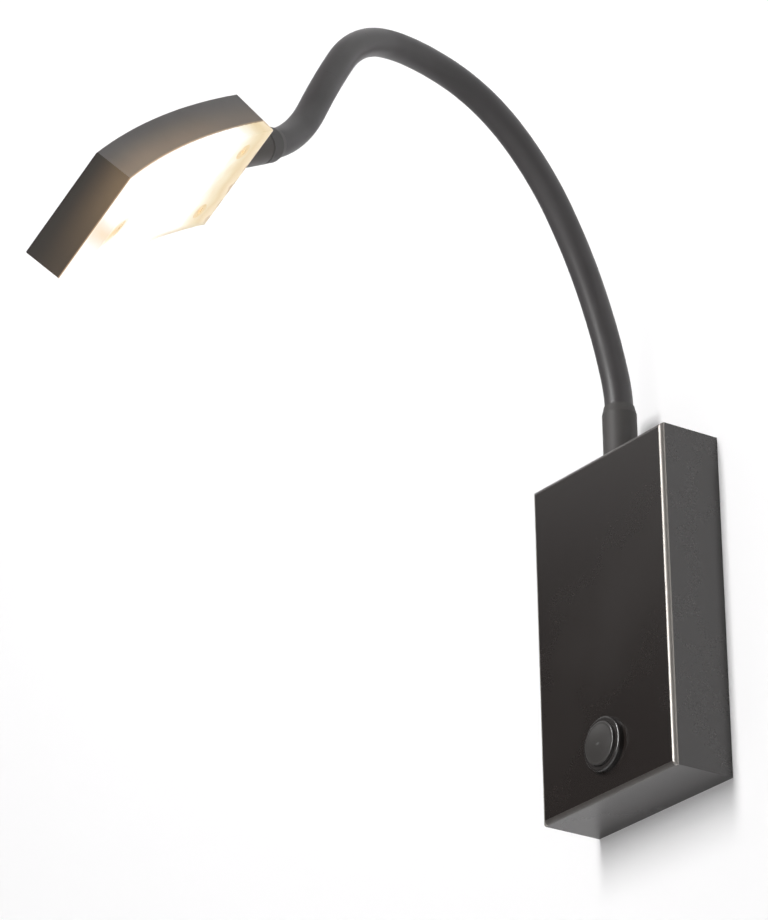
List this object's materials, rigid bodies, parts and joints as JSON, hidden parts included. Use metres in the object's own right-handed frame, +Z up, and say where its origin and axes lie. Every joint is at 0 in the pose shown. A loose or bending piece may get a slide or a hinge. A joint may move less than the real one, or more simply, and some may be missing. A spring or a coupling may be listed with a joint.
{
  "type": "bedside wall reading lamp",
  "caption": "Wall reading lamp: a flat steel case with a round push button, a bendable sleeved neck and an arched light bar with a glowing lens.",
  "frame": {"origin": "middle of the wall plate's back face, halfway between the two wall screws", "axes": "+Z up, -Y out of the wall towards the room, +X to the right for someone who faces the wall"},
  "size_m": [0.1285, 0.2799, 0.2555],
  "materials": {
    "case_black": "fine-textured black powder coat",
    "ferrule_black": "satin black",
    "zinc_steel": "zinc plated, dull",
    "screw_steel": "bright zinc plated",
    "sleeve_rubber": "soft matt charcoal",
    "core_steel": "oiled spring steel",
    "coupling_bronze": "dark bronze, satin",
    "head_black": "satin dark powder coat",
    "switch_black": "satin black",
    "cap_black": "semi-gloss black",
    "contact_nylon": "moulded, matt",
    "terminal_nylon": "moulded, natural",
    "grommet_black": "moulded, matt",
    "brass": "turned",
    "driver_white": "moulded, matt",
    "heat_aluminium": "milled",
    "board_white": "white solder mask",
    "chip_yellow": "phosphor",
    "lens_opal": "opal acrylic, polished edges",
    "wire_brown": "insulation",
    "wire_blue": "insulation",
    "wire_green": "insulation",
    "wire_grey": "insulation"
  },
  "bodies": {
    "base": {"base_ferrule": "ferrule_black", "cable_clamp": "contact_nylon", "cable_clamp_screws": "screw_steel", "cable_grommet": "grommet_black", "case_cover": "case_black", "cover_screws": "screw_steel", "driver_case": "driver_white", "driver_screws": "screw_steel", "earth_screw": "screw_steel", "earth_tag": "brass", "earth_wire": "wire_green", "lamp_lead": "wire_grey", "live_wire": "wire_brown", "neck_core_0": "core_steel", "neck_nut": "screw_steel", "neck_sleeve_0": "sleeve_rubber", "neck_washer": "zinc_steel", "neutral_wire": "wire_blue", "switch_bezel": "switch_black", "switch_body": "contact_nylon", "switch_nut": "screw_steel", "switch_spring": "core_steel", "switch_tabs": "brass", "switched_wire": "wire_brown", "terminal_block": "terminal_nylon", "terminal_fixing_screws": "screw_steel", "terminal_inserts": "brass", "terminal_screws": "screw_steel", "wall_plate": "zinc_steel"},
    "neck_1": {"neck_sleeve_1": "sleeve_rubber", "neck_core_1": "core_steel"},
    "neck_2": {"neck_sleeve_2": "sleeve_rubber", "neck_core_2": "core_steel"},
    "neck_3": {"neck_sleeve_3": "sleeve_rubber", "neck_core_3": "core_steel"},
    "neck_4": {"neck_sleeve_4": "sleeve_rubber", "neck_core_4": "core_steel"},
    "neck_5": {"neck_sleeve_5": "sleeve_rubber", "neck_core_5": "core_steel"},
    "neck_6": {"neck_sleeve_6": "sleeve_rubber", "neck_core_6": "core_steel"},
    "neck_7": {"neck_sleeve_7": "sleeve_rubber", "neck_core_7": "core_steel"},
    "head": {"neck_sleeve_8": "sleeve_rubber", "neck_core_8": "core_steel", "head_ferrule": "ferrule_black", "head_coupling": "coupling_bronze", "head_nut": "screw_steel", "head_shell": "head_black", "heat_plate": "heat_aluminium", "led_board": "board_white", "led_chips": "chip_yellow", "board_screws": "screw_steel", "lens": "lens_opal", "lens_screws": "screw_steel", "head_lead": "wire_grey"},
    "button": {"switch_cap": "cap_black"}
  },
  "joints": [
    {"name": "neck_bend_1", "type": "hinge", "parent": "base", "child": "neck_1", "pos_m": [0, -0.01427, 0.09191], "axis": [1, 0, 0], "range_deg": [-20, 20]},
    {"name": "neck_turn_2", "type": "hinge", "parent": "neck_1", "child": "neck_2", "pos_m": [0, -0.02309, 0.1216], "axis": [0, 0.9342, 0.3567], "range_deg": [-30, 30]},
    {"name": "neck_bend_3", "type": "hinge", "parent": "neck_2", "child": "neck_3", "pos_m": [0, -0.0365, 0.14951], "axis": [-1, 0, 0], "range_deg": [-20, 30]},
    {"name": "neck_turn_4", "type": "hinge", "parent": "neck_3", "child": "neck_4", "pos_m": [0, -0.05595, 0.17349], "axis": [0, 0.673, 0.7396], "range_deg": [-30, 30]},
    {"name": "neck_bend_5", "type": "hinge", "parent": "neck_4", "child": "neck_5", "pos_m": [0, -0.08276, 0.18853], "axis": [1, 0, 0], "range_deg": [-30, 6]},
    {"name": "neck_turn_6", "type": "hinge", "parent": "neck_5", "child": "neck_6", "pos_m": [0.00512, -0.11271, 0.18805], "axis": [0.0984, -0.2948, 0.9505], "range_deg": [-30, 15]},
    {"name": "neck_bend_7", "type": "hinge", "parent": "neck_6", "child": "neck_7", "pos_m": [0.01385, -0.13593, 0.17027], "axis": [0.9354, 0.353, 0.0213], "range_deg": [-30, 15]},
    {"name": "neck_turn_8", "type": "hinge", "parent": "neck_7", "child": "head", "pos_m": [0.01957, -0.1519, 0.14436], "axis": [-0.294, 0.8185, -0.4935], "range_deg": [-30, 30]},
    {"name": "button_press", "type": "slide", "parent": "base", "child": "button", "axis": [0, 1, 0], "range_m": [0, 0.002], "stiffness_N_per_m": 700, "springref_m": -0.001, "deforming": ["switch_spring"]}
  ]
}
